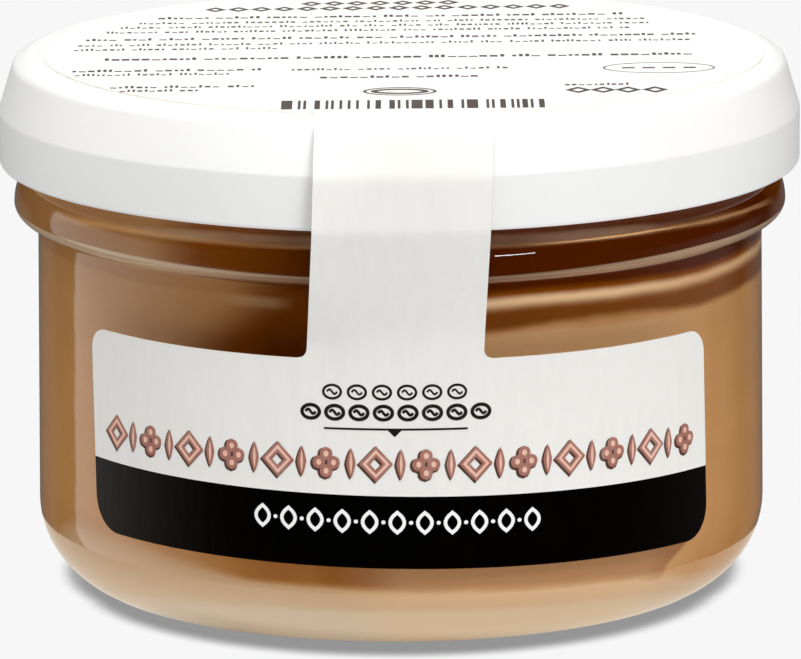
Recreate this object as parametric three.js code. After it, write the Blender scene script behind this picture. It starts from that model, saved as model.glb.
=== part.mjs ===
// A small glass pot of chocolate cream, shut by a white press-fit lid and sealed with one die-cut
// piece of paper that lies on the lid, folds over its edge and wraps the front of the pot.
//
// Millimetres, +Z up, the paper's front panel towards -Y. The origin is the centre of the
// pot's foot, on the surface that the pot stands on.

import * as THREE from 'three';

// ---------------------------------------------------------------- driving dimensions

const SEGMENTS = 60; // facets round every turned piece
const GAP = 0.3; // clearance between pieces that touch

const POT = {
  wallRadiusLow: 36.28, // outside of the wall just above the foot's rounding
  wallRadiusHigh: 36.03, // outside of the wall under the bead: the pot draws in a little
  cornerRadius: 8.8, // rounding between the wall and the foot
  cornerHeight: 7.9, // height at which that rounding meets the wall
  footRingInside: 26, // the flat ring that the pot stands on reaches in to here
  pushUp: 0.8, // how far the middle of the foot is raised
  beadRadius: 38.37,
  beadBottom: 36.42,
  beadMiddle: 37.92, // height of the bead's widest circle
  beadTop: 41.4,
  beadUndersidePower: 2.4, // above 2 the underside is fuller than an ellipse
  wall: 5,
  floor: 4, // thin: the cream shows right down to the foot
  innerCornerRadius: 6,
  lipRounding: 1.65,
};

const CREAM_LEVEL = 42; // the lid's edge hides the level, which is level with it or above

const LID = {
  radius: 39.75,
  bottom: 41.9,
  crease: 47.15, // the band is upright below the crease and leans in above it
  shoulderRadius: 38.2,
  shoulderHeight: 51.55, // where the leaning band turns into the top's rounded edge
  flatRadius: 36.6,
  top: 52.45,
  wall: 0.9,
  topThickness: 1.1,
  edgeRounding: 0.35,
};

const PAPER = {
  thickness: 0.3,
  discRadius: 35.8,
  strapHalfWidth: 8.45,
  panelHalfWidth: 34.7,
  panelTop: 28.85,
  panelBottom: 8.5,
  topCornerRadius: 2.2,
  bottomCornerRadius: 3.4,
  innerFillet: 0.9, // between the strap and the panel's top edge
  strapLean: 0.6, // the strap runs this far to the left on its way down
  panelLean: 0.55, // and the panel back to the right over its own height
  panelTilt: 0.0115, // drop of the panel's lines for each millimetre to the right
};

// ---------------------------------------------------------------- turned profiles

const point = (radius, height) => new THREE.Vector2(radius, height);

// Points on an arc round (radius, height), from one angle in degrees to another, both ends in.
function arc(radius, height, size, from, to, steps) {
  return Array.from({ length: steps + 1 }, (_, i) => {
    const angle = THREE.MathUtils.degToRad(from + ((to - from) * i) / steps);
    return point(radius + size * Math.cos(angle), height + size * Math.sin(angle));
  });
}

// A quarter of the bead's section, from its root on the wall to its widest circle.
function beadQuarter(rootHeight, power, steps) {
  const out = POT.beadRadius - POT.wallRadiusHigh;
  const rise = POT.beadMiddle - rootHeight;
  return Array.from({ length: steps + 1 }, (_, i) => {
    const angle = (Math.PI / 2) * (i / steps);
    const across = Math.sin(angle) ** (2 / power);
    const along = 1 - Math.cos(angle) ** (2 / power);
    return point(POT.wallRadiusHigh + out * across, rootHeight + rise * along);
  });
}

// Turns a closed profile round the Z axis.
function turned(name, profile, material) {
  const mesh = new THREE.Mesh(new THREE.LatheGeometry(profile, SEGMENTS), material);
  mesh.name = name;
  mesh.rotation.x = Math.PI / 2;
  return mesh;
}

// ---------------------------------------------------------------- pot

const POT_TOP = LID.top - LID.topThickness - GAP;
const BORE_RADIUS = POT.wallRadiusHigh - POT.wall;

function potProfile() {
  const cornerCentre = POT.wallRadiusLow - POT.cornerRadius;
  const cornerSweep = THREE.MathUtils.radToDeg(Math.asin(POT.cornerHeight / POT.cornerRadius));
  const lip = POT.lipRounding;
  return [
    point(0, POT.pushUp),
    point(POT.footRingInside - 2, POT.pushUp),
    point(POT.footRingInside, 0),
    ...arc(cornerCentre, POT.cornerHeight, POT.cornerRadius, -cornerSweep, 0, 6),
    ...beadQuarter(POT.beadBottom, POT.beadUndersidePower, 4),
    ...beadQuarter(POT.beadTop, 2, 5).reverse().slice(1),
    ...arc(POT.wallRadiusHigh - lip, POT_TOP - lip, lip, 0, 90, 3),
    ...arc(BORE_RADIUS + lip, POT_TOP - lip, lip, 90, 180, 3),
    ...boreCorner(0),
    point(0, POT.floor),
  ];
}

// The rounding between the bore and its floor, from the bore down, or a skin inside it.
function boreCorner(inset) {
  const size = POT.innerCornerRadius - inset;
  const centreRadius = BORE_RADIUS - POT.innerCornerRadius;
  return arc(centreRadius, POT.floor + POT.innerCornerRadius, size, 0, -90, 6);
}

// ---------------------------------------------------------------- chocolate cream

function creamProfile() {
  return [
    point(0, POT.floor + GAP),
    ...boreCorner(GAP).reverse(),
    point(BORE_RADIUS - GAP, CREAM_LEVEL),
    point(0, CREAM_LEVEL),
  ];
}

// ---------------------------------------------------------------- lid

function lidProfile() {
  const inside = LID.radius - LID.wall;
  const ceiling = LID.top - LID.topThickness;
  const r = LID.edgeRounding;
  const shoulder = new THREE.QuadraticBezierCurve(
    point(LID.shoulderRadius, LID.shoulderHeight),
    point(LID.shoulderRadius - 0.33, LID.top),
    point(LID.flatRadius, LID.top),
  );
  return [
    point(0, ceiling),
    point(LID.flatRadius - 0.6, ceiling),
    point(LID.shoulderRadius - LID.wall, LID.shoulderHeight - 0.7),
    point(inside, LID.crease),
    point(inside, LID.bottom),
    ...arc(LID.radius - r, LID.bottom + r, r, -90, 0, 3),
    point(LID.radius, LID.crease - 0.4),
    point(LID.radius - 0.15, LID.crease + 0.4),
    ...shoulder.getPoints(4),
    point(0, LID.top),
  ];
}

// ---------------------------------------------------------------- paper seal

// The paper's middle line in section, from the centre of the lid to the panel's bottom edge,
// as [radius, height] of its inner face. It touches the lid, bridges in to the pot from the
// lid's lower edge, and clears the bead.
const paperOnTop = LID.top + GAP;
const paperOnLid = LID.radius + GAP;
const wallRadiusAt = (height) =>
  THREE.MathUtils.mapLinear(
    height,
    POT.cornerHeight,
    POT.beadBottom,
    POT.wallRadiusLow,
    POT.wallRadiusHigh,
  );
const paperOnPot = (height) => wallRadiusAt(height) + GAP;
const BRIDGE_END = 31.5; // the strap has come down to the pot's wall here

// Half of the disc's width at a distance from its centre line.
const discHalfWidth = (along) => Math.sqrt(PAPER.discRadius ** 2 - along ** 2);
// The disc's edge meets the strap's edge at this distance.
const STRAP_START = Math.sqrt(PAPER.discRadius ** 2 - PAPER.strapHalfWidth ** 2);

// Rows of the disc, as { radius, height, half } with radius counted towards the front.
function discRows() {
  const first = 6; // degrees from the back of the disc: the very tip is cut flat
  const last = 180 - THREE.MathUtils.radToDeg(Math.asin(PAPER.strapHalfWidth / PAPER.discRadius));
  const steps = 13;
  return Array.from({ length: steps + 1 }, (_, i) => {
    const angle = THREE.MathUtils.degToRad(first + ((last - first) * i) / steps);
    const along = -PAPER.discRadius * Math.cos(angle);
    return { radius: along, height: paperOnTop, half: discHalfWidth(along) };
  });
}

// Rows of the strap, from the disc over the lid's edge and down to the panel.
function strapRows() {
  const half = PAPER.strapHalfWidth;
  const section = [
    [LID.flatRadius - 0.9, paperOnTop],
    [LID.flatRadius + 0.1, paperOnTop],
    [LID.flatRadius + 1.05, paperOnTop - 0.25],
    [LID.shoulderRadius + 0.3, LID.shoulderHeight + 0.1],
    [paperOnLid - 0.06, LID.crease + 0.3],
    [paperOnLid, LID.crease - 0.4],
    [paperOnLid, LID.bottom + 2],
    [paperOnLid, LID.bottom],
    [POT.beadRadius + 1.25, LID.bottom - 2.2],
    [paperOnPot(BRIDGE_END) + 0.5, BRIDGE_END + 1.6],
    [paperOnPot(BRIDGE_END), BRIDGE_END],
  ];
  const plain = section.map(([radius, height]) => ({ radius, height, half }));
  const flared = [0.9, 0.5, 0.2].map((rise) => {
    const depth = PAPER.innerFillet - rise;
    const flare = PAPER.innerFillet - Math.sqrt(PAPER.innerFillet ** 2 - depth ** 2);
    const height = PAPER.panelTop + rise;
    return { radius: paperOnPot(height), height, half: half + flare };
  });
  return [...plain, ...flared];
}

// Rows of the panel: wing is its half width there, rounded at the corners.
function panelRows() {
  const { panelTop, panelBottom, topCornerRadius, bottomCornerRadius } = PAPER;
  const cornerSteps = 4;
  const row = (height, inset) => ({
    radius: paperOnPot(height),
    height,
    half: PAPER.strapHalfWidth + (height === panelTop ? PAPER.innerFillet : 0),
    wing: PAPER.panelHalfWidth - inset,
  });
  const corner = (size, i) => {
    const angle = (Math.PI / 2) * (i / cornerSteps);
    return { drop: size * (1 - Math.cos(angle)), inset: size * (1 - Math.sin(angle)) };
  };
  const steps = Array.from({ length: cornerSteps + 1 }, (_, i) => i);
  const upper = steps.map((i) => corner(topCornerRadius, i));
  const lower = steps.map((i) => corner(bottomCornerRadius, i)).reverse();
  return [
    ...upper.map(({ drop, inset }) => row(panelTop - drop, inset)),
    row((panelTop + panelBottom) / 2, 0),
    ...lower.map(({ drop, inset }) => row(panelBottom + drop, inset)),
  ];
}

// How far a height is from one level down to another, from 0 to 1.
const share = (height, from, to) =>
  THREE.MathUtils.clamp(THREE.MathUtils.mapLinear(height, from, to, 0, 1), 0, 1);
const wayDown = (height) => share(height, LID.bottom, PAPER.panelTop); // from lid to panel

// Sideways shift of the paper's middle line at a height, in millimetres to the right.
function lean(height) {
  const alongPanel = share(height, PAPER.panelTop, PAPER.panelBottom);
  return -PAPER.strapLean * wayDown(height) + PAPER.panelLean * alongPanel;
}

// Places a point of the paper: across the middle line, on a row, and raised off its inner face
// along the row's normal. The lid's top is flat, and everything past its edge is wrapped round
// the pot's axis.
function placeOnPaper(row, across, raised) {
  const radius = row.radius + row.normal.x * raised;
  const height = row.height + row.normal.y * raised;
  const onTop = THREE.MathUtils.smoothstep(row.radius, STRAP_START, LID.flatRadius);
  const wrap = row.height > LID.crease ? onTop : 1;
  const drop = PAPER.panelTilt * across * wayDown(row.height);
  const angle = (across + lean(row.height)) / Math.max(row.radius, STRAP_START);
  return new THREE.Vector3(
    THREE.MathUtils.lerp(across, radius * Math.sin(angle), wrap),
    THREE.MathUtils.lerp(-radius, -radius * Math.cos(angle), wrap),
    height - drop,
  );
}

// Across-positions of one row's points: the strap's columns in the middle, and on a panel row
// the wings' columns beside them. A row without wings has null there.
function columnsOf(row, strapColumns, wingColumns) {
  const { lerp } = THREE.MathUtils;
  const middle = Array.from({ length: strapColumns + 1 }, (_, i) =>
    lerp(-row.half, row.half, i / strapColumns),
  );
  const wing = Array.from({ length: wingColumns }, (_, i) =>
    row.wing ? lerp(row.half, row.wing, (i + 1) / wingColumns) : null,
  );
  const left = wing.map((across) => (across === null ? null : -across)).reverse();
  return [...left, ...middle, ...wing];
}

// The paper as one thin closed body: an outer and an inner skin over the same grid, joined all
// round the outline.
function paperGeometry() {
  const rows = [...discRows(), ...strapRows(), ...panelRows()];
  rows.forEach((row, i) => {
    const before = rows[Math.max(i - 1, 0)];
    const after = rows[Math.min(i + 1, rows.length - 1)];
    const run = point(after.radius - before.radius, after.height - before.height).normalize();
    row.normal = point(-run.y, run.x);
    row.across = columnsOf(row, 6, 6);
  });

  const positions = [];
  const addPoint = (row, across, raised) => {
    positions.push(...placeOnPaper(row, across, raised).toArray());
    return positions.length / 3 - 1;
  };
  const skins = rows.map((row) =>
    row.across.map((across) =>
      across === null
        ? null
        : { inner: addPoint(row, across, 0), outer: addPoint(row, across, PAPER.thickness) },
    ),
  );

  const faces = [];
  const loose = new Map(); // the outer skin's edges that no second face has used yet
  const addEdge = (a, b) => {
    if (!loose.delete(`${b.outer} ${a.outer}`)) loose.set(`${a.outer} ${b.outer}`, [a, b]);
  };
  for (let i = 0; i + 1 < skins.length; i++) {
    for (let j = 0; j + 1 < skins[i].length; j++) {
      const [a, b, c, d] = [skins[i][j], skins[i + 1][j], skins[i + 1][j + 1], skins[i][j + 1]];
      if (!(a && b && c && d)) continue;
      faces.push(a.outer, b.outer, c.outer, a.outer, c.outer, d.outer);
      faces.push(a.inner, c.inner, b.inner, a.inner, d.inner, c.inner);
      [[a, b], [b, c], [c, d], [d, a]].forEach(([from, to]) => addEdge(from, to));
    }
  }
  for (const [a, b] of loose.values()) {
    faces.push(b.outer, a.outer, a.inner, b.outer, a.inner, b.inner);
  }

  const geometry = new THREE.BufferGeometry();
  geometry.setAttribute('position', new THREE.Float32BufferAttribute(positions, 3));
  geometry.setIndex(faces);
  geometry.computeVertexNormals();
  return geometry;
}

// ---------------------------------------------------------------- finishes and assembly

const finish = (color, roughness) =>
  new THREE.MeshStandardMaterial({ color, roughness, metalness: 0 });

const glass = finish(0xdfe6df, 0.05);
const cream = finish(0x9c6a42, 0.45);
const whitePlastic = finish(0xf2f2f0, 0.4);
const paper = finish(0xe8e7e1, 0.8);

const paperSeal = new THREE.Mesh(paperGeometry(), paper);
paperSeal.name = 'paper_seal';

const group = new THREE.Group();
group.add(
  turned('glass_pot', potProfile(), glass),
  turned('chocolate_cream', creamProfile(), cream),
  turned('snap_lid', lidProfile(), whitePlastic),
  paperSeal,
);

export default group;
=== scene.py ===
# A low round glass pot of chocolate cream, shut by a white press-fit lid and sealed with one
# die-cut piece of paper: a disc on the lid, a strap over its edge and a panel on the pot.
#
# Lengths are millimetres here, unless metres are named, and MM turns them into Blender's metres.
# +Z is up and the paper's panel faces -Y. A profile or a section is a list of (radius, height).

import math
import random

import bmesh
import bpy
import numpy as np
from mathutils import Matrix, Vector


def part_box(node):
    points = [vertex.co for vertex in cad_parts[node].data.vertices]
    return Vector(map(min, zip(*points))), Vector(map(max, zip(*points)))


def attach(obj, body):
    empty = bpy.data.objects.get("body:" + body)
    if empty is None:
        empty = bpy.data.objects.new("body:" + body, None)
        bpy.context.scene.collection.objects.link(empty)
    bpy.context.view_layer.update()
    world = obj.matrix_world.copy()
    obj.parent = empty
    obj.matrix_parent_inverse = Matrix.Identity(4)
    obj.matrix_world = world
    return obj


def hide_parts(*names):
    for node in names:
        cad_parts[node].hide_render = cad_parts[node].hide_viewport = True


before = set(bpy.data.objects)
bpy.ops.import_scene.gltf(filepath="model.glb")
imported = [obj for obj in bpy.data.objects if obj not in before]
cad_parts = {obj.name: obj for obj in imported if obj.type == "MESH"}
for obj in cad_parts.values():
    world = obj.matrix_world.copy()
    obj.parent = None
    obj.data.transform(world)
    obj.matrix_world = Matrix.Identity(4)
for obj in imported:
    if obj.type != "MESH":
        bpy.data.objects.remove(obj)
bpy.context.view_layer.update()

MM = 0.001


def extent(node):
    """Lowest and highest corner of a CAD node."""
    low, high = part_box(node)
    return low / MM, high / MM


# ---------------- sizes

POT_HIGH = extent("glass_pot")[1]
CREAM_LOW, CREAM_HIGH = extent("chocolate_cream")
LID_LOW, LID_HIGH = extent("snap_lid")
GAP = 0.3  # what the frame's solids leave between pieces that touch

WALL_RADIUS_LOW = 36.28  # outside of the pot's wall, just above the foot's rounding
WALL_RADIUS_HIGH = 36.03  # and under the bead
CORNER_RADIUS = 8.8
CORNER_HEIGHT = 7.9
FOOT_INSIDE = 26.0  # the flat ring that the pot stands on reaches in to here
PUSH_UP, PUSH_UP_RUN = 0.8, 2.0  # how far the bottom rises inside that ring, and over what run
BEAD_RADIUS = POT_HIGH.x
BEAD_BOTTOM, BEAD_MIDDLE, BEAD_TOP = 36.25, 37.92, 41.4
BEAD_FILLET = 0.5
BORE_RADIUS = CREAM_HIGH.x + GAP
POT_FLOOR = CREAM_LOW.z - GAP
BORE_CORNER = 6.0
LIP_ROUNDING = 1.65

CREAM_BITE = 0.08  # how far the cream reaches into the glass, so that no air shows between
CREAM_ROUNDING = 1.2  # where its level meets the glass

LID_RADIUS, LID_BOTTOM, LID_TOP = LID_HIGH.x, LID_LOW.z, LID_HIGH.z
LID_CREASE = 47.15
LID_SHOULDER = (38.2, 51.55)
LID_FLAT_RADIUS = 36.6
LID_WALL, LID_TOP_THICKNESS = 0.9, 1.1
LID_EDGE = 0.35

PAPER_THICKNESS = 0.14
PAPER_CLEAR = 0.02  # the paper's inner face stands this far off what it is glued to
DISC_RADIUS = 35.8
STRAP_HALF = 8.5
PANEL_HALF = 34.7
PANEL_TOP, PANEL_BOTTOM = 28.85, 8.5
PANEL_TOP_CORNER, PANEL_BOTTOM_CORNER = 2.2, 3.4
INNER_FILLET = 0.9
BAND_TOP = 15.6  # the printed band runs from here down to the panel's bottom edge
BRIDGE_END = 31.5  # the strap has come in to the pot's wall here

SEGMENTS = 256


# ---------------- mesh helpers

def arc(radius, height, size, start, end, steps):
    """Points on an arc round (radius, height), between two angles in degrees, both ends in."""
    angles = np.radians(np.linspace(start, end, steps + 1))
    return [(radius + size * math.cos(a), height + size * math.sin(a)) for a in angles]


def rounded(corners, step_deg=6.0):
    """A polyline through (x, y, radius) corners, with an arc of that radius at each."""
    path = []
    for i, (x, y, radius) in enumerate(corners):
        if radius == 0 or i in (0, len(corners) - 1):
            path.append((x, y))
            continue
        here = np.array((x, y))
        to_last = np.array(corners[i - 1][:2]) - here
        to_next = np.array(corners[i + 1][:2]) - here
        to_last = to_last / np.linalg.norm(to_last)
        to_next = to_next / np.linalg.norm(to_next)
        half = math.acos(float(np.clip(to_last @ to_next, -1, 1))) / 2
        if math.pi / 2 - half < 1e-4:
            path.append((x, y))
            continue
        reach = radius / math.tan(half)
        middle = (to_last + to_next) / np.linalg.norm(to_last + to_next)
        centre = here + middle * radius / math.sin(half)
        first, last = here + to_last * reach - centre, here + to_next * reach - centre
        turn = math.pi - 2 * half
        steps = max(2, math.ceil(math.degrees(turn) / step_deg))
        for k in range(steps + 1):
            share = k / steps
            spoke = (first * math.sin((1 - share) * turn) + last * math.sin(share * turn))
            path.append(tuple(centre + spoke / math.sin(turn)))
    return path


def resampled(path, step):
    """The same polyline with points about step apart, both ends kept."""
    points = np.array(path, float)
    lengths = np.r_[0, np.cumsum(np.linalg.norm(np.diff(points, axis=0), axis=1))]
    count = max(2, math.ceil(lengths[-1] / step) + 1)
    at = np.linspace(0, lengths[-1], count)
    return list(zip(*(np.interp(at, lengths, points[:, i]) for i in range(2))))


def new_object(name, data):
    obj = bpy.data.objects.new(name, data)
    bpy.context.scene.collection.objects.link(obj)
    return obj


def solid_from(name, points, faces, crease_deg=40.0):
    """An object made of points in millimetres, with its faces turned outwards."""
    mesh = bpy.data.meshes.new(name)
    mesh.from_pydata([tuple(c * MM for c in p) for p in points], [], faces)
    work = bmesh.new()
    work.from_mesh(mesh)
    bmesh.ops.recalc_face_normals(work, faces=work.faces)
    work.to_mesh(mesh)
    work.free()
    mesh.polygons.foreach_set("use_smooth", [True] * len(mesh.polygons))
    mesh.set_sharp_from_angle(angle=math.radians(crease_deg))
    mesh.update()
    return new_object(name, mesh)


def turned(name, profile, segments=SEGMENTS):
    """A closed solid turned round the Z axis. Its profile starts and ends on the axis."""
    points, rings, faces = [], [], []
    for radius, height in profile:
        count = segments if radius > 1e-6 else 1
        rings.append((len(points), count))
        for k in range(count):
            angle = 2 * math.pi * k / segments
            points.append((radius * math.cos(angle), radius * math.sin(angle), height))
    for (low, low_count), (high, high_count) in zip(rings, rings[1:]):
        for k in range(segments):
            n = k + 1
            corners = (low + k % low_count, low + n % low_count,
                       high + n % high_count, high + k % high_count)
            faces.append(tuple(dict.fromkeys(corners)))
    return solid_from(name, points, faces)


def finish_piece(obj, materials, replaces=()):
    """Gives a piece its materials, hangs it on the root body and hides the CAD nodes that it
    replaces.
    """
    for mat in materials:
        obj.data.materials.append(mat)
    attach(obj, "root")
    for node in replaces:
        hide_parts(node)
    return obj


# ---------------- pot, cream and lid

def bead_quarter(root, steps):
    """A quarter of the bead's section, from its root on the wall to its widest circle."""
    out, rise = BEAD_RADIUS - WALL_RADIUS_HIGH, BEAD_MIDDLE - root
    angles = np.linspace(0, math.pi / 2, steps + 1)
    return [(WALL_RADIUS_HIGH + out * math.sin(a), root + rise * (1 - math.cos(a)))
            for a in angles]


def bore_corner(bite, steps=24):
    """The rounding between the bore and its floor, from the bore down, moved out by bite."""
    centre = (BORE_RADIUS - BORE_CORNER, POT_FLOOR + BORE_CORNER)
    return arc(*centre, BORE_CORNER + bite, 0, -90, steps)


def pot_profile():
    """From the middle of the foot up the outside, over the lip and down the bore."""
    sweep = math.degrees(math.asin(CORNER_HEIGHT / CORNER_RADIUS))
    centre = WALL_RADIUS_LOW - CORNER_RADIUS
    foot_edge = centre + CORNER_RADIUS * math.cos(math.radians(sweep))
    taken_up = 8.0  # degrees of the corner's arc that the foot's own rounding takes up
    corner = arc(centre, CORNER_HEIGHT, CORNER_RADIUS, taken_up - sweep, 0, 28)
    foot = rounded([  # (radius, height, rounding)
        (0, PUSH_UP, 0), (FOOT_INSIDE - PUSH_UP_RUN, PUSH_UP, 4), (FOOT_INSIDE, 0, 1.5),
        (foot_edge, 0, 0.9), (*corner[0], 0),
    ])
    wall = resampled([corner[-1], (WALL_RADIUS_HIGH, BEAD_BOTTOM - BEAD_FILLET)], 2.0)[1:]
    fillet = arc(WALL_RADIUS_HIGH + BEAD_FILLET, BEAD_BOTTOM - BEAD_FILLET, BEAD_FILLET, 180, 90, 8)
    past_fillet = WALL_RADIUS_HIGH + BEAD_FILLET + 0.03
    underside = [p for p in bead_quarter(BEAD_BOTTOM, 40) if p[0] > past_fillet]
    top = bead_quarter(BEAD_TOP, 28)[::-1][1:]
    lip = POT_HIGH.z - LIP_ROUNDING
    return [
        *foot, *corner[1:], *wall, *fillet[1:], *underside, *top,
        *arc(WALL_RADIUS_HIGH - LIP_ROUNDING, lip, LIP_ROUNDING, 0, 90, 10),
        *arc(BORE_RADIUS + LIP_ROUNDING, lip, LIP_ROUNDING, 90, 180, 10),
        *bore_corner(0),
        (0, POT_FLOOR),
    ]


def cream_profile():
    level = CREAM_HIGH.z
    edge = BORE_RADIUS + CREAM_BITE
    rounding = arc(edge - CREAM_ROUNDING, level - CREAM_ROUNDING, CREAM_ROUNDING, 0, 90, 6)
    return [(0, POT_FLOOR - CREAM_BITE), *bore_corner(CREAM_BITE)[::-1], *rounding, (0, level)]


def lid_profile():
    """From the middle of the ceiling down to the lid's edge, and back up to the middle on top."""
    shoulder_radius, shoulder_height = LID_SHOULDER
    inside = LID_RADIUS - LID_WALL
    ceiling = LID_TOP - LID_TOP_THICKNESS
    return rounded([  # (radius, height, rounding)
        (0, ceiling, 0), (LID_FLAT_RADIUS - 0.6, ceiling, 1.2),
        (shoulder_radius - LID_WALL, shoulder_height - 0.7, 1.2),
        (inside, LID_CREASE, 1.5), (inside, LID_BOTTOM, 0.25),
        (LID_RADIUS, LID_BOTTOM, LID_EDGE), (LID_RADIUS, LID_CREASE, 1.1),
        (shoulder_radius + 0.1, shoulder_height + 0.35, 1.1),
        (LID_FLAT_RADIUS + 0.5, LID_TOP, 1.6), (0, LID_TOP, 0),
    ], 5.0)


# ---------------- paper seal

def wall_radius(height):
    """Outside radius of the pot's wall at a height."""
    return float(np.interp(height, (CORNER_HEIGHT, BEAD_BOTTOM),
                           (WALL_RADIUS_LOW, WALL_RADIUS_HIGH)))


STRAP_START = math.sqrt(DISC_RADIUS ** 2 - STRAP_HALF ** 2)  # where disc and strap meet
PAPER_ON_TOP = LID_TOP + PAPER_CLEAR
# Sideways shift of the paper's middle line, and the drop of its lines for each millimetre to
# the right, by height: the strap runs a little to the left and the panel hangs a little askew.
LEAN = ((PANEL_BOTTOM, PANEL_TOP, LID_BOTTOM, LID_TOP), (0.15, -0.55, 0.12, 0.45))
TILT = ((BAND_TOP, PANEL_TOP, LID_BOTTOM), (0.0175, 0.004, 0.0))
# The strap is too stiff to follow the lid's curve: by height, the share of it that each edge
# stands off by.
STAND_OFF = ((BRIDGE_END - 1, 37.0, LID_BOTTOM, LID_CREASE, LID_TOP - 1),
             (0.0, 1.1, 1.25, 0.8, 0.0))
STAND_OFF_RIGHT = 0.3  # the right edge's share of the left's


def paper_rows():
    """Rows of the paper from the back of the disc to the panel's bottom edge."""
    rows = []
    back, front = 4.0, 180 - math.degrees(math.asin(STRAP_HALF / DISC_RADIUS))
    for angle in np.radians(np.linspace(back, front, 64)):
        rows.append(dict(radius=-DISC_RADIUS * math.cos(angle), height=PAPER_ON_TOP,
                         half=DISC_RADIUS * math.sin(angle)))
    on_lid = LID_RADIUS + PAPER_CLEAR
    on_pot = wall_radius(BRIDGE_END) + PAPER_CLEAR
    section = rounded([  # (radius, height, rounding)
        (STRAP_START, PAPER_ON_TOP, 0), (LID_FLAT_RADIUS + 0.6, PAPER_ON_TOP, 1.5),
        (LID_SHOULDER[0] + 0.32, LID_SHOULDER[1] + 0.1, 2.5), (on_lid, LID_CREASE, 4),
        (on_lid, LID_BOTTOM - 0.1, 1.6), (on_pot, BRIDGE_END, 7),
        (wall_radius(PANEL_TOP) + PAPER_CLEAR, PANEL_TOP + INNER_FILLET, 0),
    ])
    strap = resampled(section, 0.45)[1:]
    rows += [dict(radius=r, height=h, half=STRAP_HALF) for r, h in strap]
    for rise in np.linspace(INNER_FILLET, 0, 8)[1:-1]:
        depth = INNER_FILLET - rise
        flare = INNER_FILLET - math.sqrt(INNER_FILLET ** 2 - depth ** 2)
        height = PANEL_TOP + rise
        rows.append(dict(radius=wall_radius(height) + PAPER_CLEAR, height=height,
                         half=STRAP_HALF + flare))
    return rows + panel_rows()


def panel_rows():
    """Rows of the panel. wing is its half width there, less at the rounded corners."""
    insets = {}  # how far the panel's ends are in from its full width, by height
    corners = ((PANEL_TOP_CORNER, PANEL_TOP, -1), (PANEL_BOTTOM_CORNER, PANEL_BOTTOM, 1))
    for size, edge, way in corners:
        for angle in np.linspace(0, math.pi / 2, 13):
            insets[edge + way * size * (1 - math.cos(angle))] = size * (1 - math.sin(angle))
    above = np.linspace(PANEL_TOP - PANEL_TOP_CORNER, BAND_TOP, 12)[1:]
    within = np.linspace(BAND_TOP, PANEL_BOTTOM + PANEL_BOTTOM_CORNER, 5)[1:-1]
    for height in (*above, *within):
        insets[float(height)] = 0.0
    flare = {PANEL_TOP: INNER_FILLET}
    return [dict(radius=wall_radius(h) + PAPER_CLEAR, height=h,
                 half=STRAP_HALF + flare.get(h, 0.0), wing=PANEL_HALF - insets[h])
            for h in sorted(insets, reverse=True)]


def smooth_share(value, low, high):
    """A smooth step, 0 up to low and 1 from high on."""
    share = min(max((value - low) / (high - low), 0.0), 1.0)
    return share * share * (3 - 2 * share)


def place_on_paper(row, across, raised):
    """A point of the paper, raised off its inner face. Past the lid's flat top it is wrapped
    round the pot's axis."""
    normal_out, normal_up = row["normal"]
    radius = row["radius"] + normal_out * raised
    height = row["height"] + normal_up * raised
    lean = float(np.interp(row["height"], *LEAN))
    tilt = float(np.interp(row["height"], *TILT))
    on_top = row["height"] > LID_CREASE
    wrap = smooth_share(row["radius"], STRAP_START, LID_FLAT_RADIUS) if on_top else 1.0
    angle = (across + lean) / max(row["radius"], STRAP_START)
    stand_off = float(np.interp(row["height"], *STAND_OFF)) if "wing" not in row else 0.0
    if across > 0:
        stand_off *= STAND_OFF_RIGHT
    out = radius * (math.cos(angle) + stand_off * (1 - math.cos(angle)))
    return (across + lean + wrap * (radius * math.sin(angle) - across - lean),
            -(radius + wrap * (out - radius)),
            height - tilt * across)


def paper_columns(row, strap_columns=22, wing_columns=30):
    """Across-positions of one row's points, with None where a row has no wings."""
    middle = list(np.linspace(-row["half"], row["half"], strap_columns + 1))
    if "wing" not in row:
        return [None] * wing_columns + middle + [None] * wing_columns
    wing = list(np.linspace(row["half"], row["wing"], wing_columns + 1))[1:]
    return [-a for a in wing[::-1]] + middle + wing


PLAIN, BAND, CUT_EDGE = range(3)  # the sheet's materials


def paper_grid(rows):
    """The sheet's points, inner and outer in turn, and row by row where the inner ones are."""
    points, grid = [], []
    for row in rows:
        line = []
        for across in paper_columns(row):
            if across is None:
                line.append(None)
                continue
            line.append(len(points))
            points.append(place_on_paper(row, across, 0.0))
            points.append(place_on_paper(row, across, PAPER_THICKNESS))
        grid.append(line)
    return points, grid


def paper_object():
    rows = paper_rows()
    for i, row in enumerate(rows):
        last, following = rows[max(i - 1, 0)], rows[min(i + 1, len(rows) - 1)]
        run = (following["radius"] - last["radius"], following["height"] - last["height"])
        length = math.hypot(*run)
        row["normal"] = (-run[1] / length, run[0] / length)
    points, grid = paper_grid(rows)
    faces, finishes = [], []
    loose = {}  # edges that only one cell has so far, in the order that they came
    for i in range(len(grid) - 1):
        outside = BAND if rows[i]["height"] <= BAND_TOP + 1e-6 else PLAIN
        for j in range(len(grid[i]) - 1):
            corners = grid[i][j], grid[i + 1][j], grid[i + 1][j + 1], grid[i][j + 1]
            if None in corners:
                continue
            faces.append(tuple(c + 1 for c in corners))
            faces.append(corners[::-1])
            finishes += [outside, PLAIN]
            for edge in zip(corners, corners[1:] + corners[:1]):
                if edge[::-1] in loose:
                    del loose[edge[::-1]]
                else:
                    loose[edge] = True
    for a, b in loose:
        faces.append((b + 1, a + 1, a, b))
        finishes.append(CUT_EDGE)
    obj = solid_from("paper_seal_sheet", points, faces, 50.0)
    obj.data.polygons.foreach_set("material_index", finishes)
    return obj


# ---------------- print

PRINT_THICKNESS = 0.02
PRINT_RADIUS = 36.35  # sideways places on the panel are arc lengths at this radius


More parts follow.
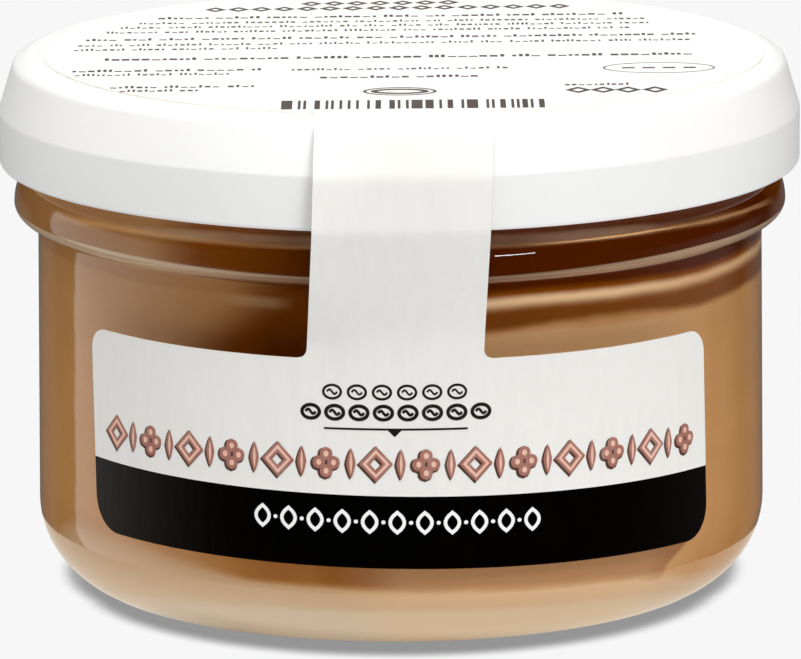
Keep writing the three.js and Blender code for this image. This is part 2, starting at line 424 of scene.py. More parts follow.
def on_panel(across, height, raised):
    """A point over the panel's face, from its place round the pot and its height."""
    radius = wall_radius(height) + PAPER_CLEAR + PAPER_THICKNESS + raised
    angle = across / PRINT_RADIUS
    return radius * math.sin(angle), -radius * math.cos(angle), height


def on_disc(across, depth, raised):
    """A point over the disc, depth counted away from the viewer."""
    return across, depth, PAPER_ON_TOP + PAPER_THICKNESS + raised


class Print:
    """One ink: thin shapes raised by lift over the paper, gathered into one piece."""

    def __init__(self, place, lift=0.004):
        self.place, self.lift = place, lift
        self.points, self.faces = [], []

    def strip(self, left, right, columns=1, closed=False):
        """The shape between two rows of points, left[i] facing right[i]."""
        first, wide, long = len(self.points), columns + 1, len(left)
        for raised in (self.lift, self.lift + PRINT_THICKNESS):
            for a, b in zip(left, right):
                for k in range(wide):
                    share = k / columns
                    self.points.append(self.place(a[0] + (b[0] - a[0]) * share,
                                                  a[1] + (b[1] - a[1]) * share, raised))
        top = long * wide

        def at(i, k, level):
            return first + level * top + (i % long) * wide + k

        for i in range(long if closed else long - 1):
            for k in range(columns):
                low = at(i, k, 0), at(i + 1, k, 0), at(i + 1, k + 1, 0), at(i, k + 1, 0)
                self.faces += [low, tuple(c + top for c in low[::-1])]
            for k, way in ((0, 1), (columns, -1)):
                side = at(i, k, 0), at(i, k, 1), at(i + 1, k, 1), at(i + 1, k, 0)
                self.faces.append(side[::way])
        for i, way in () if closed else ((0, -1), (long - 1, 1)):
            for k in range(columns):
                end = at(i, k, 0), at(i, k, 1), at(i, k + 1, 1), at(i, k + 1, 0)
                self.faces.append(end[::way])

    def line(self, path, width, closed=False, step=0.6):
        """A stroke of even width along a path, with mitred corners."""
        dense = []
        ends = path + path[:1] if closed else path
        for a, b in zip(ends, ends[1:]):
            pieces = max(1, math.ceil(math.dist(a, b) / step))
            dense += [(a[0] + (b[0] - a[0]) * k / pieces, a[1] + (b[1] - a[1]) * k / pieces)
                      for k in range(pieces)]
        if not closed:
            dense.append(path[-1])
        left, right = [], []
        for i, here in enumerate(dense):
            before = dense[i - 1] if i or closed else here
            after = dense[(i + 1) % len(dense)] if i + 1 < len(dense) or closed else here
            runs = [np.subtract(here, before), np.subtract(after, here)]
            runs = [r / np.linalg.norm(r) for r in runs if np.linalg.norm(r) > 1e-9]
            middle = sum(runs) / np.linalg.norm(sum(runs))
            side = np.array((-middle[1], middle[0]))
            reach = width / 2 / max(abs(float(middle @ runs[0])), 0.35)
            left.append(tuple(here + side * reach))
            right.append(tuple(here - side * reach))
        self.strip(left, right, 1, closed)

    def spindle(self, across, height, half_width, half_height, bulge=1.0, steps=8):
        """A filled upright shape: a lozenge where bulge is 1, an ellipse where it is 0.5."""
        left, right = [], []
        for k in range(steps + 1):
            way = -1 + 2 * k / steps
            wide = half_width * max(1 - abs(way) ** (1 / bulge), 0.0) ** bulge + 0.004
            left.append((across - wide, height + half_height * way))
            right.append((across + wide, height + half_height * way))
        self.strip(left, right, 2)

    def block(self, low, high):
        """A filled rectangle."""
        columns = max(1, math.ceil((high[0] - low[0]) / 0.8))
        self.strip([low, (low[0], high[1])], [(high[0], low[1]), high], columns)

    def build(self, name, mat):
        obj = solid_from(name, self.points, self.faces)
        return finish_piece(obj, [mat])


def lozenge(across, height, half_width, half_height):
    return [(across, height - half_height), (across + half_width, height),
            (across, height + half_height), (across - half_width, height)]


def leaf(across, height, half_width, half_height, steps=7):
    """The outline of a leaf with two pointed ends."""
    way = np.linspace(-1, 1, steps + 1)
    right = [(across + half_width * (1 - w * w), height + half_height * w) for w in way]
    left = [(across - half_width * (1 - w * w), height + half_height * w) for w in way[::-1]]
    return right + left[1:-1]


def oval(across, height, half_width, half_height, steps=40):
    angles = np.linspace(0, 2 * math.pi, steps, endpoint=False)
    return [(across + half_width * math.cos(a), height + half_height * math.sin(a)) for a in angles]


def border_motif(ink, kind, across, height, stroke, dot, bar):
    """A lozenge, four dots or an upright bar. dot and bar are half widths and half heights."""
    if kind == 0:
        ink.line(lozenge(across, height, 1.12, 1.2), stroke, True)
    elif kind == 2:
        for angle in np.radians((0, 90, 180, 270)):
            ink.spindle(across + 0.72 * math.cos(angle), height + 0.84 * math.sin(angle),
                        *dot, 0.5)
    else:
        ink.spindle(across, height, *bar, 0.8)


def border_print(inks):
    """A border over the printed band, each motif in three inks one over the other."""
    body, inline, shade = Print(on_panel, 0.028), Print(on_panel, 0.052), Print(on_panel)
    motifs, span, middle, slope = 27, 31.2, 18.75, -0.014
    for i in range(motifs):
        across = span * (2 * i / (motifs - 1) - 1)
        height = middle + slope * across
        for ink, shift, stroke in ((shade, -0.15, 0.86), (body, 0.0, 0.74)):
            border_motif(ink, i % 4, across + shift, height + shift * 0.9, stroke,
                         (stroke * 0.82, stroke * 0.88), (stroke * 0.6, 1.5))
        border_motif(inline, i % 4, across, height, 0.26, (0.24, 0.3), (0.14, 1.05))
    shade.build("print_border_shade", inks["brown"])
    body.build("print_border_body", inks["rose"])
    inline.build("print_border_inline", inks["pink"])


def band_print(inks):
    """Light leaves on the printed band, with a dot between each two."""
    leaves = Print(on_panel, 0.006)
    count, span, centre, middle, slope = 11, 13.2, -0.4, 13.05, -0.0175
    for i in range(count):
        across = span * (2 * i / (count - 1) - 1) + centre
        leaves.line(leaf(across, middle + slope * across, 0.68, 0.98), 0.34, True)
        if i + 1 < count:
            dot = across + span / (count - 1)
            leaves.spindle(dot, middle + slope * dot, 0.2, 0.2, 0.5)
    leaves.build("print_band_leaves", inks["white"])


BEAN_ROWS = (  # beans, half of the row's width, its middle, height, stroke
    (6, 6.0, -0.6, 25.75, 0.24),
    (8, 8.2, -0.5, 23.75, 0.34),
)


def bean_print(inks):
    """Two rows of beans over a rule with a small point under its middle."""
    dark = Print(on_panel)
    for count, span, centre, height, stroke in BEAN_ROWS:
        for i in range(count):
            across = centre + span * (2 * i / (count - 1) - 1)
            dark.line(oval(across, height, 0.86, 0.66, 20), stroke, True)
            seam = [(across - 0.5 + 0.1 * k, height + 0.22 * math.sin(k * math.pi / 5))
                    for k in range(11)]
            dark.line(seam, stroke * 0.8)
    rule = 22.15
    dark.line([(-7.4, rule + 0.03), (6.4, rule - 0.03)], 0.2)
    under, tip = rule - 0.1, rule - 0.72
    dark.strip([(-1.25, under), (-0.62, tip)], [(0.05, under), (-0.58, tip)], 2)
    dark.build("print_rule_and_beans", inks["black"])


DASH_ROWS = (  # left end, right end, depth, height of the dashes, width of one dash
    (-24.5, 22.5, 20.2, 1.2, 0.34), (-26.3, 24.6, 17.2, 1.1, 0.22),
    (-28.1, 25.2, 14.6, 1.1, 0.22), (-29.4, 22.8, 11.7, 1.1, 0.22),
    (-31.3, 30.0, 7.5, 1.2, 0.32), (-32.0, 29.0, 4.2, 1.1, 0.22), (-32.3, -12.5, 0.9, 1.1, 0.22),
    (-29.0, 28.2, -4.1, 1.3, 0.38), (-31.9, -13.4, -11.3, 1.2, 0.32),
    (-31.6, -16.5, -13.6, 1.1, 0.22), (-10.5, 10.4, -10.9, 1.1, 0.24),
    (-7.7, 7.5, -15.4, 1.2, 0.34), (-27.9, -13.9, -20.5, 1.2, 0.28),
    (-26.9, -19.2, -22.6, 1.1, 0.24), (16.0, 22.7, -20.2, 1.1, 0.22),
)
DASH_SHAPES = ((1.0, 1.0), (1.0, 0.65), (2.0, 0.65), (2.2, 0.35))  # shares of width and height
DASH_SLOPE = 0.035
DASHES_IN_GROUP, DASH_GAP, GROUP_GAP = (3, 11), (0.2, 0.3), 0.55
LOZENGE_ROWS = ((-9.0, 7.2, 28.2), (-18.8, 16.9, 25.1))  # left end, right end, depth
LOZENGE_STEP = 2.35
BARS_LEFT, BARS_RIGHT, BARS_LOW, BARS_HIGH = -11.25, 13.85, -33.0, -28.4
BAR_MODULE, BAR_SLOPE = 0.264, 0.015


def dash_row(ink, draw, left, right, depth, tall, wide):
    """Dashes of mixed sizes in groups, from the left end of a row to its right end."""
    across = left
    while across < right:
        for _ in range(draw.randint(*DASHES_IN_GROUP)):
            if across > right:
                break
            low = depth + DASH_SLOPE * (across - (left + right) / 2) - tall / 2
            broad, high = draw.choice(DASH_SHAPES)
            ink.block((across, low), (across + wide * broad, low + tall * high))
            across += wide * broad + draw.uniform(*DASH_GAP)
        across += GROUP_GAP


def bar_row(ink, draw):
    """Upright bars in a made-up order."""
    across = BARS_LEFT
    while across < BARS_RIGHT - 0.15:
        wide = draw.choice((1, 1, 1, 2, 2, 3, 4)) * BAR_MODULE
        rise = BAR_SLOPE * across
        ink.block((across, BARS_LOW + rise), (min(across + wide, BARS_RIGHT), BARS_HIGH + rise))
        across += wide + draw.choice((1, 1, 2, 2, 3)) * BAR_MODULE


def lid_print(inks):
    """Plain dashes, bars, lozenges and ovals on the disc."""
    draw = random.Random(5)
    ink = Print(on_disc)
    for row in DASH_ROWS:
        dash_row(ink, draw, *row)
    for left, right, depth in LOZENGE_ROWS:
        for across in np.arange(left, right, LOZENGE_STEP):
            ink.line(lozenge(across, depth + DASH_SLOPE * across, 0.8, 1.0), 0.46, True)
    bar_row(ink, draw)
    ink.line(oval(0.05, -23.7, 3.4, 2.05), 0.3, True)
    ink.line(oval(0.05, -23.7, 2.5, 1.1, 24), 0.62, True)
    ink.line(oval(25.4, -11.2, 5.4, 2.9), 0.16, True)
    for across in (22.4, 24.4, 26.4, 28.4):
        ink.block((across - 0.6, -11.5), (across + 0.6, -10.9))
    for across in (17.2, 19.6, 22.0, 24.6):
        ink.line(lozenge(across, -23.4, 0.95, 1.25), 0.5, True)
    ink.build("print_disc_marks", inks["grey"])


# ---------------- materials

class Nodes:
    """A node tree, begun afresh, with short ways of adding to it. A node's input is given as a
    value or as another node's output."""

    def __init__(self, tree, output):
        self.tree = tree
        tree.nodes.clear()
        self.out = tree.nodes.new(output)

    def node(self, kind, output=0, options=None, **inputs):
        """Adds a node and returns one of its outputs. i0, i1 and so on are inputs by number."""
        node = self.tree.nodes.new(kind)
        for key, value in (options or {}).items():
            setattr(node, key, value)
        for key, value in inputs.items():
            numbered = key[0] == "i" and key[1:].isdigit()
            socket = node.inputs[int(key[1:]) if numbered else key.replace("_", " ")]
            if isinstance(value, bpy.types.NodeSocket):
                self.tree.links.new(value, socket)
            else:
                socket.default_value = value
        return node.outputs[output]

    def parts(self, vector):
        """A vector's X, Y and Z."""
        node = self.tree.nodes.new("ShaderNodeSeparateXYZ")
        self.tree.links.new(vector, node.inputs[0])
        return list(node.outputs)

    def ray(self, kind):
        """1 for a Camera, Glossy, Diffuse or Shadow ray, as asked, and 0 for any other."""
        return self.node("ShaderNodeLightPath", f"Is {kind} Ray")

    def math(self, operation, a, b=0.0):
        return self.node("ShaderNodeMath", options={"operation": operation}, i0=a, i1=b)

    def plus(self, a, b):
        return self.math("ADD", a, b)

    def minus(self, a, b):
        return self.math("SUBTRACT", a, b)

    def product(self, *factors):
        total = factors[0]
        for factor in factors[1:]:
            total = self.math("MULTIPLY", total, factor)
        return total

    def bearing(self, x, y):
        """Azimuth in degrees, 0 in front and positive to the right."""
        return self.math("DEGREES", self.math("ARCTAN2", x, self.math("MULTIPLY", y, -1.0)))

    def ranged(self, value, low, high, to_low=0.0, to_high=1.0, smooth=False):
        """Goes from to_low to to_high while the value goes from low to high, and stays there."""
        options = {"interpolation_type": "SMOOTHSTEP"} if smooth else None
        return self.node("ShaderNodeMapRange", options=options, Value=value, From_Min=low,
                         From_Max=high, To_Min=to_low, To_Max=to_high)

    def surface(self, shader):
        self.tree.links.new(shader, self.out.inputs["Surface"])


class Look(Nodes):
    """The nodes of a new material, mat."""

    def __init__(self, name):
        self.mat = bpy.data.materials.new(name)
        self.mat.use_nodes = True
        super().__init__(self.mat.node_tree, "ShaderNodeOutputMaterial")

    def place(self):
        """Where a point is on the object, in metres."""
        return self.node("ShaderNodeTexCoord", "Object")

    def noise(self, vector, scale, detail, rough=0.55):
        return self.node("ShaderNodeTexNoise", "Fac", Vector=vector, Scale=scale, Detail=detail,
                         Roughness=rough)

    def stretched(self, vector, x, y, z):
        return self.node("ShaderNodeMapping", Vector=vector, Scale=(x, y, z))

    def blended(self, share, a, b):
        """A colour between a and b."""
        return self.node("ShaderNodeMix", 2, {"data_type": "RGBA"}, i0=share, i6=a, i7=b)

    def bump(self, height, distance, strength=1.0):
        """A normal, bent by a height of so many millimetres."""
        return self.node("ShaderNodeBump", Height=height, Distance=distance * MM,
                         Strength=strength)


def rgb(red, green, blue):
    return (red, green, blue, 1.0)


def glass_look():
    """Clear glass. Lamps and diffuse light pass straight through, to light the cream."""
    look = Look("clear_glass")
    ripple = look.noise(look.stretched(look.place(), 1, 1, 2.5), 90, 2)
    glass = look.node("ShaderNodeBsdfPrincipled", Base_Color=rgb(0.93, 0.97, 0.94), Roughness=0.0,
                      IOR=1.51, Transmission_Weight=1.0, Normal=look.bump(ripple, 0.06))
    clear = look.node("ShaderNodeBsdfTransparent", Color=rgb(1, 1, 1))
    passes = look.math("MAXIMUM", look.ray("Shadow"), look.ray("Diffuse"))
    look.surface(look.node("ShaderNodeMixShader", i0=passes, i1=glass, i2=clear))
    return look.mat


# The cream's own colour and a darker tone of it come first. The rest are painted: the pale, foot and
# underside colours are painted light from the floor below, the gold and rim colours painted light,
# and the deep and shaded colours painted shade.
CREAM_LIT = rgb(0.58, 0.28, 0.10)
CREAM_DARKER = rgb(0.53, 0.25, 0.085)
CREAM_PALE_LIGHT = rgb(0.67, 0.44, 0.275)
CREAM_FOOT_LIGHT = rgb(0.72, 0.53, 0.385)
CREAM_UNDERSIDE_LIGHT = rgb(0.74, 0.60, 0.475)
CREAM_GOLD_LIGHT = rgb(0.90, 0.60, 0.35)
CREAM_RIM_LIGHT = rgb(0.80, 0.56, 0.36)
CREAM_DEEP_SHADE = rgb(0.075, 0.0115, 0.0004)
CREAM_SHADED = rgb(0.25, 0.062, 0.003)


class CreamLook(Look):
    """Chocolate cream, with light and shade painted into its colour: painted floor light at the foot,
    painted bands of light and shade under the lid, the paper's painted shadow and a painted line
    of light along its upper edge. Each paint method takes a colour and returns it with its own paint
    on."""

    def __init__(self):
        super().__init__("chocolate_cream")
        place = self.place()
        x, y, z = self.parts(place)
        self.level = self.product(z, 1 / MM)
        self.azimuth = self.bearing(x, y)
        self.to_side = self.math("ABSOLUTE", self.azimuth)
        self.wobble = self.noise(self.stretched(place, 1, 1, 0.4), 110, 3)
        self.mottle = self.noise(place, 160, 5)
        self.patchy = self.noise(self.stretched(place, 1, 1, 0.1), 70, 2)
        # Behind, all that differs between left and right fades out, so that the two sides meet.
        self.behind = self.round_pot(105, 165, smooth=True)
        self.ahead = self.minus(1.0, self.behind)
        # The wavering height of the painted bands of light and shade. They lie lower on the right.
        height = self.plus(self.level, self.ranged(self.wobble, 0, 1, -0.4, 0.4))
        drop = self.product(self.round_pot(36, 60), self.ahead, 0.4)
        self.height = self.plus(height, drop)
        # How far a point is over the edge of the painted floor light at the foot, which is higher to
        # the left of the panel.
        self.hump = self.product(self.round_pot(-80, -70), self.round_pot(-28, -50))
        foot = self.plus(self.ranged(self.hump, 0, 1, 5.9, 6.9),
                         self.product(self.round_pot(-25, 32), self.ahead, -0.6))
        foot = self.plus(foot, self.product(self.round_pot(38, 62), self.ahead, -0.6))
        waver = self.plus(self.level, self.ranged(self.wobble, 0, 1, -0.2, 0.2))
        self.over_foot = self.minus(waver, foot)

    def round_pot(self, start, end, to_start=0.0, to_end=1.0, smooth=False):
        """A share, or another value, that goes by the azimuth."""
        return self.ranged(self.azimuth, start, end, to_start, to_end, smooth)

    def up_pot(self, start, end, to_start=0.0, to_end=1.0, smooth=False):
        """One that goes by the bands' height."""
        return self.ranged(self.height, start, end, to_start, to_end, smooth)

    def beyond(self, edge, start, end, *to, smooth=False):
        """By how many degrees the azimuth is past an edge that isn't upright."""
        past = self.minus(self.azimuth, edge)
        return self.ranged(past, start, end, *to, smooth=smooth)

    def paint_foot_light(self, colour):
        """Painted light from the floor at the pale foot, palest on its underside, with its edge
        softer to the left of the panel.
        """
        soft = self.math("DIVIDE", self.over_foot, self.ranged(self.hump, 0, 1, 0.3, 1.5))
        pale = self.blended(self.ranged(self.level, 5.6, 4.2), CREAM_PALE_LIGHT, CREAM_FOOT_LIGHT)
        # The painted floor light is dimmer from the front round to the right.
        dimmer = self.product(self.round_pot(-25, 5, 0.0, 0.28), self.ahead)
        pale = self.blended(dimmer, pale, CREAM_DARKER)
        pale = self.blended(self.ranged(self.level, 4.3, 4.0), pale, CREAM_UNDERSIDE_LIGHT)
        return self.blended(self.ranged(soft, 1, -1, smooth=True), colour, pale)

    def paint_panel_shadow(self, colour):
        """The shadow under the paper's panel, cut off aslant at its right end."""
        end = self.ranged(self.level, 5.5, 7.0, 52.5, 57.5)
        under = self.product(self.ranged(self.over_foot, -0.2, 0.4),
                             self.ranged(self.level, 11.0, 9.0),
                             self.round_pot(-44, -20, smooth=True), self.beyond(end, 1.5, 0.0),
                             self.round_pot(-16, -6, 0.55, 0.95))
        return self.blended(under, colour, CREAM_SHADED)

    def paint_bands(self, colour):
        """Painted bands of light and shade under the lid on the right, from below: a faint gold shelf
        of painted light, a brown line of painted shade, a gold line of painted light, and painted
        shade of the lid all the way up. The uppermost painted shade goes on round the left, but
        fades."""
        product, round_pot, up_pot = self.product, self.round_pot, self.up_pot
        on_right = product(round_pot(-12, 0), self.ahead)
        shelf = product(up_pot(30.8, 30.0), on_right, round_pot(64, 48))
        rise = self.plus(round_pot(19, 34, 0.0, 0.5), round_pot(42, 60, 0.0, -0.6))
        risen = self.minus(self.height, rise)
        line = product(self.ranged(risen, 30.2, 31.2, smooth=True),
                       up_pot(33.4, 32.2, smooth=True), on_right,
                       self.ranged(self.patchy, 0.3, 0.7, 1.0, 0.85))
        gold = product(up_pot(32.1, 33.0), on_right, round_pot(36, 62, 1.0, 0.5, smooth=True),
                       self.ranged(self.patchy, 0.3, 0.7, 0.8, 1.0))
        fade_from = up_pot(35.2, 36.4, -31, -48)
        top = product(up_pot(33.4, 34.2, smooth=True),
                      self.beyond(fade_from, 0.0, 14.0, 0.2, 1.0, smooth=True),
                      self.ranged(self.behind, 0, 1, 1.0, 0.2))
        topmost = product(up_pot(33.9, 34.9, smooth=True), round_pot(-31, -4, smooth=True),
                          round_pot(82, 96, 1.0, 0.3), self.ahead)
        colour = self.blended(product(shelf, 0.35), colour, CREAM_GOLD_LIGHT)
        colour = self.blended(gold, colour, CREAM_GOLD_LIGHT)
        colour = self.blended(self.math("MAXIMUM", line, top), colour, CREAM_SHADED)
        deep_shade = self.math("MAXIMUM", topmost, product(line, 0.35))
        return self.blended(deep_shade, colour, CREAM_DEEP_SHADE)

    def paint_strap_shadow(self, colour):
        """The strap's painted shadow to its left, wider lower down, with a faint streak of painted
        light in it.
        """
        edge = self.up_pot(28.5, 34, -34, -21)
        beside = self.product(self.round_pot(-4, -8, smooth=True), self.up_pot(24, 27),
                              self.up_pot(35.0, 34.0), self.beyond(edge, -10, 6, smooth=True))
        streak = self.product(self.up_pot(32.5, 33.0), self.up_pot(34.0, 33.5),
                              self.round_pot(-32, -27), self.round_pot(-18, -22))
        colour = self.blended(beside, colour, CREAM_SHADED)
        return self.blended(self.product(streak, 0.25), colour, CREAM_GOLD_LIGHT)

    def paint_rim_light(self, colour):
        """A painted line of pale light along the upper edge, most of all at the sides."""
        edge = self.ranged(self.to_side, 19, 58, 37.9, 37.17)
        strength = self.plus(self.round_pot(-15, 15, 1.2, 0.6), self.product(self.behind, 0.6))
        rim = self.product(self.ranged(self.minus(self.level, edge), 0.0, 0.3),
                           self.ranged(self.to_side, 15, 58, 0.35, 0.85), strength)
        return self.blended(rim, colour, CREAM_RIM_LIGHT)


def cream_look():
    look = CreamLook()
    colour = look.blended(look.ranged(look.mottle, 0.3, 0.7), CREAM_LIT, CREAM_DARKER)
    for paint in (look.paint_foot_light, look.paint_panel_shadow, look.paint_bands,
                  look.paint_strap_shadow, look.paint_rim_light):
        colour = paint(colour)
    look.surface(look.node("ShaderNodeBsdfPrincipled", Base_Color=colour, Roughness=0.6,
                           Specular_IOR_Level=0.0, Normal=look.bump(look.mottle, 0.2)))
    return look.mat


def lid_look():
    """White moulded plastic with a faint grain."""
    look = Look("white_plastic")
    place = look.place()
    grain = look.noise(place, 2600, 3)
    tone = look.noise(place, 45, 2)
    colour = look.blended(look.ranged(tone, 0.3, 0.7), rgb(0.84, 0.84, 0.835), rgb(0.81, 0.81, 0.805))
    look.surface(look.node("ShaderNodeBsdfPrincipled", Base_Color=colour,
                           Roughness=look.ranged(grain, 0.2, 0.8, 0.36, 0.48),
                           Normal=look.bump(grain, 0.02, 0.6)))
    return look.mat


def fibres(look):
    """Upright paper fibres, as a value from 0 to 1."""
    return look.noise(look.stretched(look.place(), 1, 1, 0.22), 900, 5, 0.65)


def paper_look(name, light, dark):
    """Paper between two tones, its fibres upright and barely showing."""
    look = Look(name)
    fibre = fibres(look)
    cloud = look.noise(look.place(), 70, 3)
    colour = look.blended(look.ranged(fibre, 0.25, 0.75), light, dark)
    colour = look.blended(look.ranged(cloud, 0.35, 0.7, 0.0, 0.5), colour, dark)
    look.surface(look.node("ShaderNodeBsdfPrincipled", Base_Color=colour,
                           Roughness=look.ranged(fibre, 0.2, 0.8, 0.5, 0.64),
                           Normal=look.bump(fibre, 0.03, 0.4)))
    return look.mat


def ink_look(name, colour, roughness=0.5, streak=0.0, gloss=0.3, tint=rgb(1, 1, 1)):
    """Printed ink with the paper's fibres showing through as fine streaks."""
    look = Look(name)
    fibre = fibres(look)
    pale = tuple(c + streak * (1 - c) for c in colour[:3]) + (1.0,)
    mixed = look.blended(look.ranged(fibre, 0.45, 0.8), colour, pale)
    rough = look.ranged(fibre, 0.2, 0.8, roughness - 0.08, roughness + 0.08)
    look.surface(look.node("ShaderNodeBsdfPrincipled", Base_Color=mixed, Specular_IOR_Level=gloss,
                           Roughness=rough, Specular_Tint=tint, Normal=look.bump(fibre, 0.04, 0.7)))
    return look.mat


# ---------------- build the pieces

finish_piece(turned("pot_glass", pot_profile()), [glass_look()], ["glass_pot"])
finish_piece(turned("cream_fill", cream_profile(), 192), [cream_look()], ["chocolate_cream"])
finish_piece(turned("lid_cap", lid_profile()), [lid_look()], ["snap_lid"])
band_ink = ink_look("ink_band", rgb(0.0006, 0.0005, 0.0004), roughness=0.3, streak=0.0005,
                    gloss=0.12, tint=rgb(1, 0.7, 0.5))
paper = paper_look("label_paper", rgb(0.85, 0.84, 0.81), rgb(0.79, 0.78, 0.75))
cut_edge = paper_look("paper_cut_edge", rgb(0.97, 0.92, 0.82), rgb(0.93, 0.87, 0.76))
finish_piece(paper_object(), [paper, band_ink, cut_edge], ["paper_seal"])
INKS = {
    "brown": ink_look("ink_brown", rgb(0.085, 0.035, 0.022), 0.5, 0.06),
    "rose": ink_look("ink_rose", rgb(0.36, 0.15, 0.11), 0.5, 0.1),
    "pink": ink_look("ink_pink", rgb(0.78, 0.47, 0.37), 0.5, 0.1),
    "black": ink_look("ink_black", rgb(0.012, 0.009, 0.007), 0.5, 0.01),
    "white": ink_look("ink_white", rgb(0.86, 0.86, 0.85), 0.5, 0.0),
    "grey": ink_look("ink_grey", rgb(0.085, 0.07, 0.062), 0.55, 0.03),
}
border_print(INKS)
band_print(INKS)
bean_print(INKS)
lid_print(INKS)


# ---------------- stage

FLOOR_TONE = 0.93
SHADE_TONE = 0.30  # the floor where the pot nearly touches it
SHADE_REACH = 4.4  # and how near something is over the floor that darkens it
BACKDROP_RADIUS = 4000.0
BACKDROP_LEVEL, PATCH_LEVEL = -0.06, -0.01  # both just under the pot's foot
BOUNCE_TONE, SPOT_TONE = 0.8, 0.05
BOUNCE_RADIUS = 42.5
BOUNCE_SHIFT = -2.0  # the lit patch of floor lies a little to the left


def floor_look():
    """A pale floor that glows evenly, with a painted contact shadow where the pot is close over it.
    The painted shadow reaches further out in front than at the sides."""
    look = Look("pale_floor")
    y = look.parts(look.place())[1]
    front = look.ranged(y, -14 * MM, -36 * MM)
    near = look.node("ShaderNodeAmbientOcclusion", "AO", {"samples": 16}, Distance=SHADE_REACH * MM)
    darkest, palest = look.ranged(front, 0, 1, 0.22, 0.45), look.ranged(front, 0, 1, 0.46, 1.02)
    tone = look.ranged(near, darkest, palest, SHADE_TONE, FLOOR_TONE, smooth=True)
    look.mat.cycles.emission_sampling = "NONE"
    look.surface(look.node("ShaderNodeEmission", Color=rgb(1, 1, 1), Strength=tone))
    return look.mat


def bounce_look():
    """Light that the floor's middle gives back to the pot, given off by the patch itself. The foot's
    front edge mirrors a dark spot in it, painted in as the shade under the pot.
    """
    look = Look("floor_bounce")
    place = look.place()
    x = look.parts(place)[0]
    middle = look.node("ShaderNodeVectorMath", "Value", {"operation": "LENGTH"}, Vector=place)
    dark = look.product(look.ranged(middle, 33.5 * MM, 32.0 * MM), look.ray("Glossy"),
                        look.ranged(x, -24 * MM, -14 * MM), look.ranged(x, 22 * MM, 6 * MM))
    tone = look.ranged(dark, 0, 1, BOUNCE_TONE, SPOT_TONE)
    look.surface(look.node("ShaderNodeEmission", Color=rgb(1, 0.92, 0.8), Strength=tone))
    return look.mat


def floor_disc(name, radius, height, mat):
    obj = turned(name, [(0, height - 1), (radius, height - 1), (radius, height), (0, height)], 96)
    obj.data.materials.append(mat)
    return obj


def make_floor():
    """A wide backdrop, and in its middle a patch that only the pot sees and mirrors."""
    backdrop = floor_disc("backdrop", BACKDROP_RADIUS, BACKDROP_LEVEL, floor_look())
    backdrop.visible_glossy = backdrop.visible_transmission = False
    patch = floor_disc("floor_patch", BOUNCE_RADIUS, PATCH_LEVEL, bounce_look())
    patch.location.x = BOUNCE_SHIFT * MM
    patch.visible_camera = patch.visible_shadow = False


LEFT_TONE, RIGHT_TONE, BACK_TONE, DARK_TONE = 1.35, 0.22, 0.12, 0.004
LEFT_LIFT = 15.0  # degrees by which the left is higher in what the glass mirrors
GLEAM_COLOUR = rgb(1.0, 0.6, 0.27)
GLEAM_LEVEL, GLEAM_SLOPE = 47.0, -0.235  # the line's elevation in front, and its fall
GLEAM_BEND = 86.0  # from this azimuth on it falls twice as fast
GLEAM_TONE, GLOW_TONE = 9.0, 2.2
TAIL_SHARE = 0.22  # what is left of the line's brightness further round to the back


class Sky(Nodes):
    """The world's nodes. A ray's azimuth and level, its elevation, are degrees."""

    def __init__(self):
        world = bpy.data.worlds.new("studio")
        world.use_nodes = True
        bpy.context.scene.world = world
        super().__init__(world.node_tree, "ShaderNodeOutputWorld")
        x, y, z = self.parts(self.node("ShaderNodeTexCoord", "Generated"))
        self.azimuth = self.bearing(x, y)
        self.to_side = self.math("ABSOLUTE", self.azimuth)
        self.level = self.math("DEGREES", self.math("ARCSINE", z))
        self.glossy = self.ray("Glossy")

    def between(self, value, start, end):
        """A smooth step from 0 at start to 1 at end."""
        return self.ranged(value, start, end, smooth=True)

    def room(self):
        """The brightness of a dark room with a bright left, a dim right and a dimmer back."""
        azimuth, between, product = self.azimuth, self.between, self.product
        lowered = self.minus(self.level, product(self.glossy, LEFT_LIFT))
        left = product(between(azimuth, -50, -105), between(azimuth, -127.5, -124.5),
                       between(lowered, 0, -5))
        right = product(between(azimuth, 60, 110), between(azimuth, 142, 118))
        back = between(self.to_side, 135, 150)
        dim = self.plus(product(right, RIGHT_TONE), product(back, BACK_TONE))
        dim = product(dim, between(self.level, -1, -7))
        room = self.plus(product(left, LEFT_TONE), dim)
        return self.plus(room, DARK_TONE)

    def gleam(self):
        """A warm glow at both sides, on the right with a bright line in it, which only the
        glass mirrors, most of all in its bead."""
        azimuth, between, product = self.azimuth, self.between, self.product
        past_bend = self.math("MAXIMUM", self.minus(self.to_side, GLEAM_BEND), 0.0)
        line = self.plus(product(self.to_side, GLEAM_SLOPE), GLEAM_LEVEL)
        line = self.plus(line, product(past_bend, GLEAM_SLOPE))
        above = self.minus(self.level, line)
        glow = product(between(above, 15, 0), between(above, -10, 0),
                       between(self.to_side, 20, 36), between(self.to_side, 130, 105))
        tail = self.plus(product(between(azimuth, 102, 76), 1 - TAIL_SHARE),
                         product(between(azimuth, 150, 120), TAIL_SHARE))
        thin = product(between(above, 4, 1), between(above, -4, -1), between(azimuth, 36, 66), tail)
        both = self.plus(product(glow, GLOW_TONE), product(thin, GLEAM_TONE))
        return product(both, self.glossy)


def make_world():
    """Pale for the camera. Everything else sees the room, and mirrors the gleam too."""
    sky = Sky()
    camera = sky.ray("Camera")
    seen = sky.product(camera, FLOOR_TONE)
    unseen = sky.product(sky.room(), sky.minus(1.0, camera))
    plain = sky.node("ShaderNodeBackground", Strength=sky.plus(seen, unseen))
    warm = sky.node("ShaderNodeBackground", Color=GLEAM_COLOUR, Strength=sky.gleam())
    sky.surface(sky.node("ShaderNodeAddShader", i0=plain, i1=warm))


LAMP_DISTANCE = 1100.0
LAMP_TARGET = 30.0  # the height that the lamps are aimed at


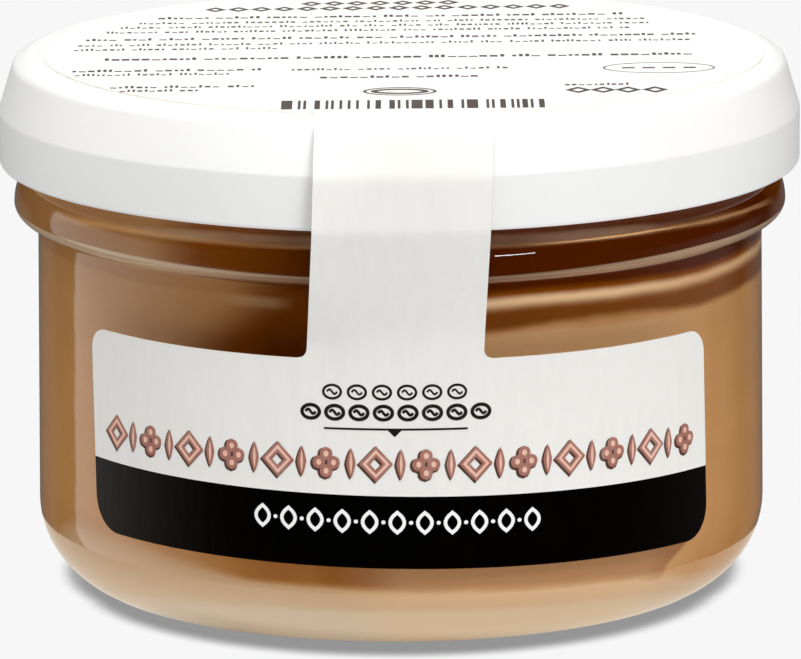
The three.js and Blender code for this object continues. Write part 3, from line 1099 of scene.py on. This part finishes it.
def softbox(name, azimuth, elevation, width, height, radiance):
    """A rectangular lamp aimed at the pot. Azimuth 0 is in front, positive to the right. Its
    width and height are metres."""
    lamp = bpy.data.lights.new(name, "AREA")
    lamp.shape, lamp.size, lamp.size_y = "RECTANGLE", width, height
    lamp.energy = math.pi * width * height * radiance
    obj = new_object(name, lamp)
    a, e = math.radians(azimuth), math.radians(elevation)
    out = Vector((math.sin(a) * math.cos(e), -math.cos(a) * math.cos(e), math.sin(e)))
    obj.location = out * LAMP_DISTANCE * MM + Vector((0, 0, LAMP_TARGET * MM))
    obj.rotation_mode = "QUATERNION"
    obj.rotation_quaternion = out.to_track_quat("Z", "Y")
    return obj


def make_lights():
    """A wide lamp overhead, a strip and its glint on the right, and a soft fill on the left."""
    softbox("overhead", 10, 80, 0.9, 0.9, 6.0)
    softbox("key_strip", 38, 14.5, 0.53, 0.115, 28.0).visible_glossy = False
    softbox("key_glint", 34, 17, 0.22, 0.025, 30.0).visible_diffuse = False
    softbox("left_fill", -75, 52, 0.6, 0.6, 4.5).visible_glossy = False


# The photo's camera, with its focal length in pixels of an image this wide.
IMAGE_WIDTH = 801
FOCAL_PIXELS = 7318.4
SENSOR = 36.0
CAMERA_PLACE = (0.0, -716.4, 176.07)
CAMERA_PITCH, CAMERA_ROLL = 0.2089, -0.005  # radians


def make_camera():
    data = bpy.data.cameras.new("camera")
    data.sensor_fit, data.sensor_width = "HORIZONTAL", SENSOR
    data.lens = FOCAL_PIXELS * SENSOR / IMAGE_WIDTH
    data.clip_start, data.clip_end = 0.02, 20
    forward = Vector((0, math.cos(CAMERA_PITCH), -math.sin(CAMERA_PITCH)))
    right = Vector((1, 0, 0))
    up = right.cross(forward)
    roll_right = math.cos(CAMERA_ROLL) * right + math.sin(CAMERA_ROLL) * up
    roll_up = math.cos(CAMERA_ROLL) * up - math.sin(CAMERA_ROLL) * right
    obj = new_object("camera", data)
    turn = Matrix((roll_right, roll_up, -forward)).transposed().to_4x4()
    obj.matrix_world = Matrix.Translation(Vector(CAMERA_PLACE) * MM) @ turn
    bpy.context.scene.camera = obj


make_floor()
make_world()
make_lights()
make_camera()
scene = bpy.context.scene
scene.view_settings.view_transform = "Standard"
